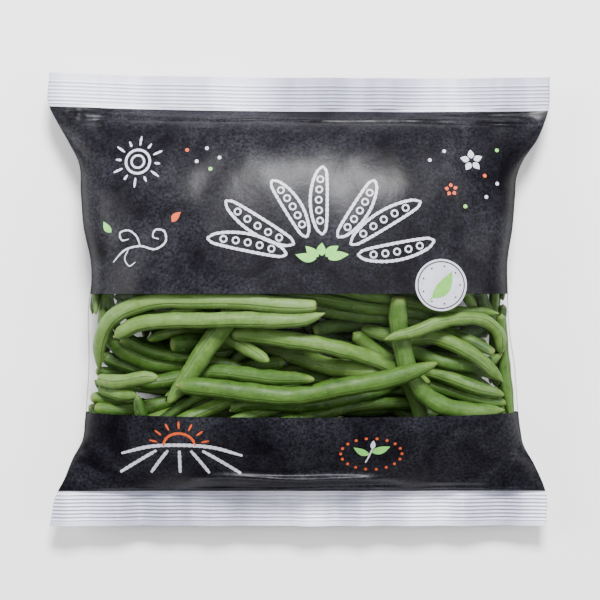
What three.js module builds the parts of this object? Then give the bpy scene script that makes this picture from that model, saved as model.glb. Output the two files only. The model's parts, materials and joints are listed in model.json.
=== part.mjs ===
// A sealed pillow bag of whole green beans, lying on its back.
//
// Millimetres. X runs across the bag, Y from the bottom seal to the top seal, Z up.
// The origin is on the surface that the bag lies on, under the middle of the bag.

import * as THREE from 'three';

// Film
const FILM = 0.6;              // wall of the film, stiffened from the real 0.04
const PIECE_GAP = 0.3;         // air between pieces that touch
const EDGE = 0.8;              // half the height of the folded side edge
const SEAL_HALF = 0.5;         // half the thickness of the pressed seals
const SEAL_INNER = 88.4;       // where the seals meet the filled part, from the middle
const SEAL_TOP = 104.3;        // outer edge of the top seal
const SEAL_FOOT = -105;        // outer edge of the bottom seal
const SEAL_RISE = 15;          // height of the seals above the surface
const SEAL_DROOP = 2;          // how far their outer edges hang below that
const WINDOW_TOP = 2.8;        // the clear band runs from here
const WINDOW_FOOT = -51.5;     // to here
const CREST = 49;              // top of the filled bag
const WAIST = 21;              // height of the widest line at the middle of the bag
const KEEL = -2.5;             // how far the round underside would sink without the surface
const SEAM_X = 4;              // middle of the seam that closes the film along the back
const SEAM_WIDTH = 12;
const SEAM_RAMP = 3;           // width over which the film steps up onto the seam

// Sides of the bag seen from above, as [y, x] from the top down
const LEFT_SIDE = [
  [105.6, -116.2], [88, -116], [82, -112.8], [71, -106.2], [64, -102.5], [49, -101],
  [34, -99.7], [17, -96.2], [9, -95.9], [-3, -97.3], [-30, -97.3], [-55, -99.2],
  [-65, -100.6], [-73, -104.9], [-84, -109.6], [-89, -112.4], [-105, -116.2],
];
const RIGHT_SIDE = [
  [105.6, 116.2], [88, 115], [82, 113], [75, 109.9], [64, 102.7], [56, 99.8],
  [49, 99.2], [34, 97.9], [17, 95.4], [5, 95.5], [-17, 96.8], [-30, 98.9],
  [-47, 100.2], [-61, 102], [-66, 103], [-76, 108.4], [-84, 112.2], [-89, 114],
  [-105, 114.3],
];

// Beans
const BEAN_GAP = 0.35;         // air between neighbouring beans
const FILM_CLEARANCE = 0.9;    // air between a bean and the smooth film, for its facets
const BEAN_SIDES = 8;
const BEND_RADIUS = 110;       // tightest upward or downward bend of a pod
const BENDS = [-1, -0.5, 0, 0.5, 1];  // bends tried at either end, as shares of the tightest
const STEEPEST = 0.4;          // steepest rise of the straightened pod
const STEP = 3;                // spacing of the contact points along a bean
const LOOSE_BEANS = 15;        // beans that fill the bag under the ones that show

// Rings along a bean, as [share of its length, share of its radius]; the stem end is first
const POD = [
  [0.008, 0.5], [0.035, 0.8], [0.11, 0.94], [0.27, 1], [0.45, 0.97],
  [0.63, 1], [0.8, 0.95], [0.91, 0.76], [0.97, 0.4],
];

// The beans that show, from the top of the heap down: radius, then the points that the pod
// follows from its stem end to its tip
const SHOWN_BEANS = [
  [2.7, [[91.8, -24], [91.2, -16.5], [87.4, -11], [78, -8.6], [68.6, -8.9], [60.7, -10.8], [53, -14],
    [44, -16], [37.6, -17.8]]],
  [4.0, [[-56, -38.5], [-42, -39.5], [-30, -40.7], [-19, -42.5], [-9, -43.4], [0, -43],
    [7.5, -41.2], [19, -39.4], [30.6, -37.6], [42, -35], [50, -32.5], [61.9, -28.3]]],
  [3.4, [[7.4, -2.5], [0, -2.7], [-11, -2], [-22.7, -0.7], [-36.7, -0.7], [-51.5, -0.2],
    [-66, -0.7], [-76, -2.6], [-84, -7], [-89.4, -13.7], [-92, -22], [-92.4, -32]]],
  [3.8, [[44.5, 1.6], [44, -4.7], [44.5, -10.6], [45.2, -17.8], [47, -23], [48.8, -29],
    [51, -36], [55, -41.5], [60.7, -46], [68.6, -49.2], [80, -50.8], [93.6, -50.2]]],
  [3.3, [[-84.4, -17], [-75.4, -11.8], [-67.7, -9.4], [-56, -9.5], [-44.8, -9.3],
    [-34.4, -8.9], [-19, -8.9], [-3.4, -9.3], [3.4, -8.5], [11.5, -5.8]]],
  [4.2, [[-13, 20], [-20, 10], [-27, 0], [-34.4, -11], [-38.5, -16.4], [-44.3, -24.5],
    [-50, -33.5], [-56, -41.6], [-60, -47]]],
  [2.9, [[-92, -36], [-87.5, -37], [-82.5, -37.2], [-77, -36.4], [-71, -35.2],
    [-64, -34.8]]],
  [3.2, [[-79, -36], [-66, -38], [-56, -36], [-45, -33.3], [-34.4, -32.9], [-26.8, -33.7],
    [-19, -35], [-9, -35.3], [0, -35.3], [6.5, -35.8]]],
  [3.4, [[-31.3, -15.5], [-19, -16], [-11, -17], [0, -19], [7.4, -20], [19, -22.5],
    [30.6, -26], [40.7, -30], [50, -34], [60, -38]]],
  [3.3, [[24.4, -15], [30.6, -20.6], [38.5, -26.3], [44, -30.4], [49, -37],
    [53, -45], [56, -54], [58, -63]]],
  [2.7, [[-42, -13], [-33, -17.8], [-23, -22.7], [-14, -27.7]]],
  [4.0, [[-59, -20.4], [-53, -20], [-46, -19.8], [-39, -19.8], [-31, -20.4]]],
  [2.7, [[-81.7, -17.3], [-74, -21.5], [-64.6, -24.6], [-54, -26], [-44, -27], [-33, -30],
    [-20, -34], [-8, -39]]],
  [3.3, [[-51.5, -31.3], [-56, -30.6], [-64, -30.2], [-71.8, -28.4], [-79.4, -24.1],
    [-87, -19], [-90, -12], [-90, -3]]],
  [3.2, [[28.6, -12.8], [38, -15.6], [48.8, -17.4], [60.5, -16.7], [68.6, -19.4],
    [74.5, -22.5], [80.5, -26], [86, -31], [92.6, -37.5]]],
  [2.8, [[36, -15], [44, -19.5], [52, -23.6], [60.7, -26.8], [68.6, -29], [76.3, -29.5],
    [82, -29.5], [88.3, -27.6], [92.8, -24.2]]],
  [2.5, [[5, 7.5], [18, 5], [31, 2], [48.4, -0.4], [57, -2.3], [64.6, -4.3], [72, -5.4],
    [80, -5], [91, -6.2]]],
  [2.6, [[-34, 8], [-19, 5], [-4.3, 2], [6, 1], [19, -1.6], [30.6, -3.8], [41.6, -4.6],
    [50, -6], [57, -7.4], [66, -10]]],
  [2.4, [[-24, 2], [-12, 0.5], [0, -2], [8, -4.4], [19, -6.5], [30.6, -7.7], [41, -8],
    [50, -9.4], [60, -12]]],
  [3.2, [[5.8, -14.4], [12, -12.4], [22.7, -11.3], [32, -10], [45, -8], [58, -5],
    [72, -1]]],
  [2.3, [[88, -24.1], [80, -19.4], [72, -16], [62.3, -13.6], [50, -13], [38.5, -12.4],
    [28.5, -10.8]]],
  [3.3, [[-7, -28.6], [-14, -29.6], [-22.7, -31.3], [-36, -35], [-50, -40], [-62, -44]]],
  [3.8, [[-22, -18.5], [-11.5, -22], [-5, -24.4], [3.4, -27.4], [11, -30], [19, -31.3],
    [27, -32.2], [36, -33]]],
  [3.0, [[-32, -50.5], [-27, -47.8], [-18, -47], [-7.4, -47.3], [5, -47.3], [19, -45],
    [30.6, -43], [42, -40], [50, -38]]],
  [2.6, [[57.8, -49.3], [50, -48], [34.4, -47.9], [22.7, -49.3], [12.8, -51.5], [0, -54],
    [-14, -56]]],
  [3, [[-94, -49], [-87, -50.4], [-75.4, -50], [-66, -48.2], [-56, -45.6], [-46, -42.6],
    [-34, -39]]],
  [2.9, [[54, -31.6], [64.6, -34.4], [72, -37], [80, -40], [93, -43.4]]],
  [3.0, [[50, -35], [57.8, -38.2], [68.6, -41.6], [76.3, -44], [84, -45.8], [94.2, -47.2]]],
  [2.6, [[-24, -13], [-36, -13], [-48, -13.4], [-58, -14.6], [-64, -16], [-69.3, -18.2]]],
  [2.4, [[36, -0.5], [28, 0.6], [19, 1.8], [10, 5], [0, 10], [-12, 16]]],
  [2.4, [[-83, 40], [-86, 30], [-88, 18], [-88.6, 7], [-88, -1], [-86, -9], [-83, -17]]],
  [2.4, [[-86, 1.4], [-76, 1.4], [-65, 2], [-50, 4], [-36, 7], [-22, 10]]],
  [3.0, [[-60, -58], [-50, -53.5], [-40, -49], [-29, -45.5], [-18, -43], [-5, -43.5]]],
  [3.3, [[-91, -26], [-82, -29.5], [-71.8, -32.2], [-60, -34], [-48, -35], [-36, -35]]],
  [2.8, [[-92, -40.5], [-84, -42.5], [-74, -43.5]]],
  [2.7, [[82, 34], [81.5, 22], [82, 8], [84, -2], [87.5, -10], [90, -20]]],
  [2.7, [[-82, 14], [-88, 5], [-90.5, -6], [-90.6, -17], [-90.2, -28]]],
  [2.4, [[-85, -13], [-78, -19], [-69, -23], [-59, -26]]],
  [2.8, [[60, -26], [74, -29], [84, -32], [93, -36]]],
];

// Looks
const PRINT_COLOUR = 0x3a3b44;
const SEAL_COLOUR = 0xd6d7e4;
const CLEAR_COLOUR = 0xe9efe8;
const BEAN_COLOURS = [0x85a152, 0x6f9148, 0x94b26a, 0x5d7f38];

// A repeatable stream of numbers from 0 to 1
function randomStream(seed) {
  let state = seed;
  return () => {
    state = (state + 0x6d2b79f5) | 0;
    let mixed = Math.imul(state ^ (state >>> 15), 1 | state);
    mixed = (mixed + Math.imul(mixed ^ (mixed >>> 7), 61 | mixed)) ^ mixed;
    return ((mixed ^ (mixed >>> 14)) >>> 0) / 4294967296;
  };
}

// 0 below the start, 1 past the end and an eased step between them
function ease(value, start, end) {
  const share = THREE.MathUtils.clamp((value - start) / (end - start), 0, 1);
  return share * share * (3 - 2 * share);
}

// The value at y of a smooth curve through [y, value] points listed from the top down
function curveAt(points, y) {
  const last = points.length - 1;
  if (y >= points[0][0]) return points[0][1];
  if (y <= points[last][0]) return points[last][1];
  const at = points.findIndex((point) => point[0] <= y);
  const [y0, v0] = points[at - 1];
  const [y1, v1] = points[at];
  const before = points[Math.max(at - 2, 0)];
  const after = points[Math.min(at + 1, last)];
  const span = y1 - y0;
  const slope0 = ((v1 - before[1]) / (y1 - before[0])) * span;
  const slope1 = ((after[1] - v0) / (after[0] - y0)) * span;
  const t = (y - y0) / span;
  const t2 = t * t;
  const t3 = t2 * t;
  return v0 * (2 * t3 - 3 * t2 + 1) + v1 * (3 * t2 - 2 * t3)
    + slope0 * (t3 - 2 * t2 + t) + slope1 * (t3 - t2);
}

// 0 at the middle of the bag and 1 at the seals
function nearSeal(y) {
  return Math.min(Math.abs(y) / SEAL_INNER, 1);
}

// The middle and the half width of the bag at y
function spanAt(y) {
  const left = curveAt(LEFT_SIDE, y);
  const right = curveAt(RIGHT_SIDE, y);
  return { middle: (left + right) / 2, half: (right - left) / 2 };
}

// How round the section is: 0 is a lens beside the seals, 1 the full bag
function fullness(y) {
  return ease(SEAL_INNER - Math.abs(y), 0, 45);
}

// Height of a section's curve over its side edge, as a share, at s from -1 to 1 across
function dome(s, y) {
  const full = fullness(y);
  const across = THREE.MathUtils.lerp(2.2, 3, full);
  const round = THREE.MathUtils.lerp(0.9, 2.2, full);
  return (1 - Math.min(Math.abs(s), 1) ** across) ** (1 / round);
}

// Height of the side edge, which waves a little where it runs into the seals
function edgeHeight(x, y) {
  const near = nearSeal(y);
  const wave = 0.9 * Math.sin(x / 21 + 0.6) + 0.5 * Math.sin(x / 9.3);
  const droop = SEAL_DROOP * ease(Math.abs(y), SEAL_INNER, -SEAL_FOOT);
  return THREE.MathUtils.lerp(WAIST, SEAL_RISE, near ** 2) + wave * near ** 4 - droop;
}

// Outer height of the film over the heap
function topHeight(x, y) {
  const { middle, half } = spanAt(y);
  const edge = edgeHeight(x, y) + EDGE;
  const rise = (CREST - SEAL_RISE - EDGE) * (1 - nearSeal(y) ** 2.6) ** (1 / 1.6);
  const crest = Math.max(SEAL_RISE + EDGE + rise - edge, 0);
  return edge + crest * dome((x - middle) / half, y);
}

// Outer height of the film under the heap, flat where it lies on the surface
function footHeight(x, y) {
  const { middle, half } = spanAt(y);
  const edge = edgeHeight(x, y) - EDGE;
  const sink = (SEAL_RISE - EDGE - KEEL) * (1 - nearSeal(y) ** 3) ** (1 / 1.5);
  const keel = Math.max(edge - (SEAL_RISE - EDGE - sink), 0);
  const round = Math.max(edge - keel * dome((x - middle) / half, y), 0);
  const offSeam = Math.abs(x - SEAM_X) - SEAM_WIDTH / 2;
  const step = 1 - THREE.MathUtils.clamp(offSeam / SEAM_RAMP, 0, 1);
  return round + step * (FILM + PIECE_GAP);
}

// Wall measured straight up, thicker where the film slopes along the bag
function wallAt(height, x, y) {
  const slope = height(x, y + 0.5) - height(x, y - 0.5);
  return FILM * Math.min(Math.hypot(1, slope), 2);
}

// The top seal bows towards the heap, most right of the middle, and takes the film along
function bowed(x, y) {
  const bow = 2.6 * ((x - 40) / 156) ** 2 - 1.3;
  return y + bow * ease(y, 50, SEAL_INNER);
}

// A closed solid through loops of points. Each loop is joined to the next. The last is
// joined to the first, or both ends are closed: 'fan' with a point, 'ladder' across the loop.
function solidFromLoops(loops, ends, poles = []) {
  const size = loops[0].length;
  const points = loops.flat().concat(poles);
  const faces = [];
  const quad = (a, b, c, d) => faces.push([a, b, c], [a, c, d]);
  const joins = ends === 'wrap' ? loops.length : loops.length - 1;
  for (let i = 0; i < joins; i += 1) {
    const here = i * size;
    const next = ((i + 1) % loops.length) * size;
    for (let k = 0; k < size; k += 1) {
      const after = (k + 1) % size;
      quad(here + k, here + after, next + after, next + k);
    }
  }
  const lastLoop = (loops.length - 1) * size;
  if (ends === 'fan') {
    const pole = loops.length * size;
    for (let k = 0; k < size; k += 1) {
      const after = (k + 1) % size;
      faces.push([pole, after, k], [pole + 1, lastLoop + k, lastLoop + after]);
    }
  }
  if (ends === 'ladder') {
    for (let k = 0; k < size / 2 - 1; k += 1) {
      const across = size - 1 - k;
      quad(k + 1, k, across, across - 1);
      quad(lastLoop + k, lastLoop + k + 1, lastLoop + across - 1, lastLoop + across);
    }
  }
  return closedGeometry(points, faces);
}

// A geometry whose faces look outwards, whichever way round they were listed
function closedGeometry(points, faces) {
  const volume = faces.reduce((sum, [a, b, c]) => {
    const cross = new THREE.Vector3().crossVectors(points[b], points[c]);
    return sum + points[a].dot(cross) / 6;
  }, 0);
  const outward = volume < 0 ? faces.map(([a, b, c]) => [a, c, b]) : faces;
  const geometry = new THREE.BufferGeometry();
  const positions = points.flatMap((point) => point.toArray());
  geometry.setAttribute('position', new THREE.Float32BufferAttribute(positions, 3));
  geometry.setIndex(outward.flat());
  geometry.computeVertexNormals();
  return geometry;
}

function piece(name, geometry, colour, roughness, opacity = 1) {
  const material = new THREE.MeshStandardMaterial({
    color: colour,
    roughness,
    metalness: 0,
    transparent: opacity < 1,
    opacity,
  });
  const mesh = new THREE.Mesh(geometry, material);
  mesh.name = name;
  return mesh;
}

// Where the film is drawn along the bag, in its three stretches
const TOP_ROWS = [WINDOW_TOP + PIECE_GAP, 14, 26, 38, 49, 57, 64, 71, 78, 84,
  SEAL_INNER - PIECE_GAP];
const WINDOW_ROWS = [WINDOW_FOOT, -44, -35, -26, -17, -7, WINDOW_TOP];
const FOOT_ROWS = [-SEAL_INNER + PIECE_GAP, -83, -77, -71, -65.5, -59,
  WINDOW_FOOT - PIECE_GAP];

// Places across the bag, as shares of its half width, closer together at the sides
const TOP_ACROSS = Array.from({ length: 19 }, (_, k) => Math.sin(((k / 9 - 1) * Math.PI) / 2));
const FOOT_ACROSS = [1, 0.97, 0.88, 0.75, 0.58, 0.38, 0.22];
const SEAM_ACROSS = [SEAM_WIDTH / 2 + SEAM_RAMP, SEAM_WIDTH / 2];

// One stretch of the film tube, open at both ends, through rows at the given y
function filmTube(rows) {
  const column = (xOf, height, wallSign) => {
    const outer = rows.map((y) => {
      const x = xOf(y, 0);
      return new THREE.Vector3(x, bowed(x, y), height(x, y));
    });
    const inner = rows.map((y) => {
      const x = xOf(y, FILM);
      const wall = wallAt(height, xOf(y, 0), y);
      return new THREE.Vector3(x, bowed(x, y), height(xOf(y, 0), y) - wallSign * wall);
    });
    return outer.concat(inner.reverse());
  };
  const byShare = (share) => (y, inset) => {
    const { middle, half } = spanAt(y);
    return middle + share * (half - inset);
  };
  const top = TOP_ACROSS.map((share) => column(byShare(share), topHeight, 1));
  const seam = [...SEAM_ACROSS, ...SEAM_ACROSS.map((x) => -x).reverse()];
  const foot = [
    ...FOOT_ACROSS.map((share) => column(byShare(share), footHeight, -1)),
    ...seam.map((x) => column(() => SEAM_X + x, footHeight, -1)),
    ...FOOT_ACROSS.map((share) => column(byShare(-share), footHeight, -1)).reverse(),
  ];
  return solidFromLoops([...top, ...foot], 'wrap');
}

// A pressed seal: a plain strip at the outer edge, ribs across the rest
const RIB_PITCH = 1.4;
const RIB_HALF_HEIGHT = 0.3;
const RIBS = 8;
const SEAL_STATIONS = 15;

function pressedSeal(innerEdge, outerEdge) {
  const outward = Math.sign(outerEdge);
  const ridges = Array.from({ length: RIBS * 2 + 1 }, (_, k) => ({
    y: innerEdge + outward * (0.9 + (k * RIB_PITCH) / 2),
    lift: k % 2 === 0 ? -RIB_HALF_HEIGHT : RIB_HALF_HEIGHT,
  }));
  const rows = [{ y: innerEdge, lift: 0 }, ...ridges, { y: outerEdge, lift: 0 }];
  const loops = Array.from({ length: SEAL_STATIONS }, (_, k) => {
    const share = (2 * k) / (SEAL_STATIONS - 1) - 1;
    const face = (side) => rows.map(({ y, lift }) => {
      const { middle, half } = spanAt(y);
      const x = middle + share * half;
      const z = edgeHeight(x, y) + lift + side * SEAL_HALF;
      return new THREE.Vector3(x, bowed(x, y), z);
    });
    return face(1).concat(face(-1).reverse());
  });
  return solidFromLoops(loops, 'ladder');
}

// The lap that closes the film into a tube, pressed flat along the back
function backSeam() {
  const stations = [...FOOT_ROWS, ...WINDOW_ROWS, ...TOP_ROWS].slice(1, -1);
  const loops = stations.map((y) => [[-1, 0], [1, 0], [1, FILM], [-1, FILM]].map(
    ([side, lift]) => {
      const x = SEAM_X + (side * SEAM_WIDTH) / 2;
      const z = footHeight(x, y) - FILM - PIECE_GAP + lift;
      return new THREE.Vector3(x, bowed(x, y), z);
    },
  ));
  return solidFromLoops(loops, 'ladder');
}

// A bean seen from above: evenly spaced points with the pod's radius at each
function podCourse(points, radius) {
  const curve = new THREE.CatmullRomCurve3(
    points.map(([x, y]) => new THREE.Vector3(x, y, 0)),
    false,
    'centripetal',
  );
  const length = curve.getLength();
  const steps = Math.max(Math.round(length / STEP), 6);
  const ringsWithEnds = [[0, 0.3], ...POD, [1, 0.1]].map(([t, r]) => [-t, r]);
  const samples = Array.from({ length: steps + 1 }, (_, k) => {
    const at = k / steps;
    const { x, y } = curve.getPointAt(at);
    return { x, y, z: 0, along: at * length, radius: radius * curveAt(ringsWithEnds, -at) };
  });
  return { curve, length, radius, samples };
}

// How near the film lets the middle of a ball come, from below (up = -1) or above (up = 1),
// with heights counted as up * z
function filmLimit({ x, y, radius }, up) {
  const height = up > 0 ? footHeight : topHeight;
  let limit = -Infinity;
  for (let ring = 0; ring <= 3; ring += 1) {
    const out = (radius * ring) / 3;
    for (let turn = 0; turn < 8; turn += 1) {
      const px = x + out * Math.cos((turn * Math.PI) / 4);
      const py = y + out * Math.sin((turn * Math.PI) / 4);
      const wall = FILM + FILM_CLEARANCE;
      const rise = Math.sqrt(Math.max(radius * radius - out * out, 0));
      limit = Math.max(limit, up * height(px, py) + wall + rise);
    }
  }
  return limit;
}

// How near the beans already placed let a ball come, counted the same way
function beanLimit(ball, up, placed) {
  let limit = -Infinity;
  for (const bean of placed) {
    for (const other of bean.samples) {
      const reach = ball.radius + other.radius + BEAN_GAP;
      const away = Math.hypot(ball.x - other.x, ball.y - other.y);
      if (away < reach) {
        limit = Math.max(limit, up * other.z + Math.sqrt(reach * reach - away * away));
      }
    }
  }
  return limit;
}

// The straight line through points [along, height] that passes over all of them and is
// lowest over the middle, as its height at each point
function lineOver(points, middle) {
  let slope = 0;
  let highest = -Infinity;
  for (const [a, heightA] of points.filter(([along]) => along <= middle)) {
    for (const [b, heightB] of points.filter(([along]) => along > middle)) {
      const rise = (heightB - heightA) / (b - a);
      const atMiddle = heightA + rise * (middle - a);
      if (atMiddle > highest) {
        highest = atMiddle;
        slope = rise;
      }
    }
  }
  const gentle = THREE.MathUtils.clamp(slope, -STEEPEST, STEEPEST);
  const offset = Math.max(...points.map(([along, height]) => height - gentle * along));
  return points.map(([along]) => offset + gentle * along);
}

// Lays a pod against what is above it (up = -1) or below it (up = 1). Of all the smooth
// bends that a pod takes, it has the one that brings it closest.
function settle(pod, up, placed) {
  const { length, samples } = pod;
  const limits = samples.map(
    (ball) => Math.max(filmLimit(ball, up), beanLimit(ball, up, placed)),
  );
  let closest = Infinity;
  for (const first of BENDS) {
    for (const last of BENDS) {
      const bow = samples.map(({ along }) => (
        first * along ** 2 / 2 + (last - first) * along ** 3 / (6 * length)) / BEND_RADIUS);
      const points = samples.map(({ along }, k) => [along, limits[k] - bow[k]]);
      const heights = lineOver(points, length / 2).map((height, k) => height + bow[k]);
      const mean = heights.reduce((sum, height) => sum + height) / heights.length;
      if (mean < closest) {
        closest = mean;
        heights.forEach((height, k) => {
          samples[k].z = up * height;
        });
      }
    }
  }
  return pod;
}

// Height of a settled pod's middle line, at a share of its length
function heightOf({ samples }, share) {
  const at = share * (samples.length - 1);
  const before = Math.min(Math.floor(at), samples.length - 2);
  return THREE.MathUtils.lerp(samples[before].z, samples[before + 1].z, at - before);
}

// Whether a settled pod lies inside the bag and clear of every bean
function fits(pod, placed) {
  return pod.samples.every((ball) => {
    const { middle, half } = spanAt(ball.y);
    const inside = Math.abs(ball.x - middle) < half - ball.radius - 2 * FILM_CLEARANCE;
    const clear = placed.every((bean) => bean.samples.every((other) => {
      const reach = ball.radius + other.radius + BEAN_GAP;
      return Math.hypot(ball.x - other.x, ball.y - other.y, ball.z - other.z) >= reach;
    }));
    return inside && clear && -filmLimit(ball, -1) >= ball.z && filmLimit(ball, 1) <= ball.z;
  });
}

// A bean dropped at random in the bag, bent a little in plan
function looseBean(random) {
  const radius = THREE.MathUtils.lerp(2.9, 3.9, random());
  const length = THREE.MathUtils.lerp(82, 118, random());
  const turn = THREE.MathUtils.lerp(-0.5, 0.5, random());
  const bend = THREE.MathUtils.lerp(-0.1, 0.1, random()) * length;
  const x = THREE.MathUtils.lerp(-55, 55, random());
  const y = THREE.MathUtils.lerp(-72, 74, random());
  const forward = random() < 0.5 ? 1 : -1;
  const points = [-0.5, -0.25, 0, 0.25, 0.5].map((share) => {
    const run = forward * share * length;
    const side = bend * (1 - 4 * share * share);
    return [
      x + run * Math.cos(turn) - side * Math.sin(turn),
      y + run * Math.sin(turn) + side * Math.cos(turn),
    ];
  });
  return podCourse(points, radius);
}

// The solid of a settled pod, eight-sided, pointed at both ends
function podSolid(pod) {
  const { curve, radius } = pod;
  const at = (share) => {
    const { x, y } = curve.getPointAt(share);
    return new THREE.Vector3(x, y, heightOf(pod, share));
  };
  const up = new THREE.Vector3(0, 0, 1);
  const loops = POD.map(([share, size]) => {
    const centre = at(share);
    const ahead = at(Math.min(share + 0.005, 1)).sub(at(Math.max(share - 0.005, 0)));
    const side = new THREE.Vector3().crossVectors(up, ahead).normalize();
    const lift = new THREE.Vector3().crossVectors(ahead, side).normalize();
    return Array.from({ length: BEAN_SIDES }, (_, k) => {
      const angle = ((k + 0.5) * 2 * Math.PI) / BEAN_SIDES;
      return centre.clone()
        .addScaledVector(side, radius * size * Math.cos(angle))
        .addScaledVector(lift, radius * size * Math.sin(angle));
    });
  });
  return solidFromLoops(loops, 'fan', [at(0), at(1)]);
}

function layBeans() {
  const placed = [];
  for (const [radius, points] of SHOWN_BEANS) {
    placed.push(settle(podCourse(points, radius), -1, placed));
  }
  const random = randomStream(410);
  const loose = [];
  while (loose.length < LOOSE_BEANS) {
    const pod = settle(looseBean(random), 1, loose);
    if (fits(pod, placed.concat(loose))) loose.push(pod);
  }
  return placed.concat(loose);
}

function beanPieces() {
  return layBeans().map((pod, index) => piece(
    `bean_${String(index + 1).padStart(2, '0')}`,
    podSolid(pod),
    BEAN_COLOURS[index % BEAN_COLOURS.length],
    0.55,
  ));
}

const bag = new THREE.Group();
bag.add(
  piece('seal_top', pressedSeal(SEAL_INNER, SEAL_TOP), SEAL_COLOUR, 0.45),
  piece('film_print_top', filmTube(TOP_ROWS), PRINT_COLOUR, 0.4),
  piece('film_window', filmTube(WINDOW_ROWS), CLEAR_COLOUR, 0.12, 0.3),
  piece('film_print_foot', filmTube(FOOT_ROWS), PRINT_COLOUR, 0.4),
  piece('seal_foot', pressedSeal(-SEAL_INNER, SEAL_FOOT), SEAL_COLOUR, 0.45),
  piece('back_seam', backSeam(), PRINT_COLOUR, 0.4),
  ...beanPieces(),
);

export default bag;
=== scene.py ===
"""A sealed pillow bag of whole green beans, lying on its back on a pale surface."""

import json
import math
import random

import bmesh
import bpy
import numpy as np
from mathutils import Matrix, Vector


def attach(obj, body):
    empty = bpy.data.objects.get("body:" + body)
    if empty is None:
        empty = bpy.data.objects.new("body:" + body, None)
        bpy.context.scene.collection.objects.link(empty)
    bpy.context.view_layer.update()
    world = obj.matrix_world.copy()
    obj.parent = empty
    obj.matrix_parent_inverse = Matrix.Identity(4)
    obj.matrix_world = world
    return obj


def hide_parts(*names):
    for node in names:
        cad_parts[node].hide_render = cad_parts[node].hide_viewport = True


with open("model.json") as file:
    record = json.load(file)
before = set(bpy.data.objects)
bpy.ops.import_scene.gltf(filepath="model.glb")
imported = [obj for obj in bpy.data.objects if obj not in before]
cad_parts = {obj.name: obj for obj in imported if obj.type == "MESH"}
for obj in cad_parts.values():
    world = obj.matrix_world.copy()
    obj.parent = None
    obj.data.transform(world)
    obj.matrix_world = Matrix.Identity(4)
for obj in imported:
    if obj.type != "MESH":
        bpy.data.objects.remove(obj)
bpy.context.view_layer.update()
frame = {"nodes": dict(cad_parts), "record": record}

# The camera
# It looks straight down on the front of the bag. One pixel is 0.46 mm at the bag's widest line.
PIXEL = 0.00046
PICTURE_SIZE = 600
PICTURE_MIDDLE = PICTURE_SIZE / 2
CAMERA_DISTANCE = 0.86
WIDEST_HEIGHT = 0.022
SENSOR_WIDTH = 36

camera_data = bpy.data.cameras.new("camera")
camera_data.sensor_width = SENSOR_WIDTH
camera_data.lens = SENSOR_WIDTH * CAMERA_DISTANCE / (PICTURE_SIZE * PIXEL)
camera = bpy.data.objects.new("camera", camera_data)
camera.location = (0, 0, WIDEST_HEIGHT + CAMERA_DISTANCE)
bpy.context.scene.collection.objects.link(camera)
bpy.context.scene.camera = camera


# The film
# One sheet of thin plastic, folded into a tube and pressed shut at both ends. It is drawn from
# one description of its surface: how wide, how high and how creased it is at each place.
SEAL_INNER = 0.0884
SEAL_TOP = 0.1043
SEAL_FOOT = -0.105
SEAL_RISE = 0.015
SEAL_DROOP = 0.002
WINDOW_TOP = 0.0028
WINDOW_FOOT = -0.0515
CREST = 0.049
WAIST = 0.021
KEEL = -0.0025
EDGE = 0.0008
LEFT_SIDE = [
    (105.6, -116.2), (88, -116), (82, -112.8), (71, -106.2), (64, -102.5), (49, -101),
    (34, -99.7), (17, -96.2), (9, -95.9), (-3, -97.3), (-30, -97.3), (-55, -99.2),
    (-65, -100.6), (-73, -104.9), (-84, -109.6), (-89, -112.4), (-105, -116.2),
]
RIGHT_SIDE = [
    (105.6, 116.2), (88, 115), (82, 113), (75, 109.9), (64, 102.7), (56, 99.8),
    (49, 99.2), (34, 97.9), (17, 95.4), (5, 95.5), (-17, 96.8), (-30, 98.9),
    (-47, 100.2), (-61, 102), (-66, 103), (-76, 108.4), (-84, 112.2), (-89, 114),
    (-105, 114.3),
]


def ease(value, start, end):
    """0 below the start, 1 past the end and an eased step between them."""
    share = np.clip((value - start) / (end - start), 0, 1)
    return share * share * (3 - 2 * share)


def side_table(points):
    """A side's places in metres from the foot up, and its slope at each."""
    at_y, at_x = np.array(points[::-1]).T / 1000
    return at_y, at_x, np.gradient(at_x, at_y)


LEFT_TABLE, RIGHT_TABLE = side_table(LEFT_SIDE), side_table(RIGHT_SIDE)


def smooth_value(t, span, start, end, slopes):
    """A value between a start and an end, t of the span along, with the two ends' slopes."""
    lean = span * (slopes[0] * t * (1 - t) ** 2 - slopes[1] * t * t * (1 - t))
    return start + (end - start) * t * t * (3 - 2 * t) + lean


def side_line(table, y):
    """Where a side of the bag is at y, on a smooth curve through its places."""
    at_y, at_x, slopes = table
    y = np.clip(y, at_y[0], at_y[-1])
    k = np.clip(np.searchsorted(at_y, y) - 1, 0, len(at_y) - 2)
    span = at_y[k + 1] - at_y[k]
    return smooth_value((y - at_y[k]) / span, span, at_x[k], at_x[k + 1],
                        (slopes[k], slopes[k + 1]))


def smooth_line(points, count):
    """Evenly spaced points on a smooth curve through the given ones, and its length."""
    steps = np.linalg.norm(np.diff(points, axis=0), axis=1)
    along = np.concatenate([[0], np.cumsum(steps)])
    at = np.linspace(0, along[-1], count)
    slopes = np.gradient(points, along, axis=0)
    k = np.clip(np.searchsorted(along, at) - 1, 0, len(along) - 2)
    span = (along[k + 1] - along[k])[:, None]
    curve = smooth_value((at - along[k])[:, None] / span, span, points[k], points[k + 1],
                         (slopes[k], slopes[k + 1]))
    return curve, along[-1]


NOISE_WAVES = 7
NOISE_TOP = 3.7


def soft_noise(x, y, size, seed):
    """Smooth hills and hollows about as wide as the size, between about -1 and 1."""
    draw = random.Random(seed)
    total = 0
    for _ in range(NOISE_WAVES):
        turn = draw.uniform(0, math.tau)
        rate = draw.uniform(0.6, 1.4) * math.tau / (2 * size)
        shift = draw.uniform(0, math.tau)
        total = total + np.sin(rate * (x * math.cos(turn) + y * math.sin(turn)) + shift)
    return total / NOISE_TOP


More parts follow.
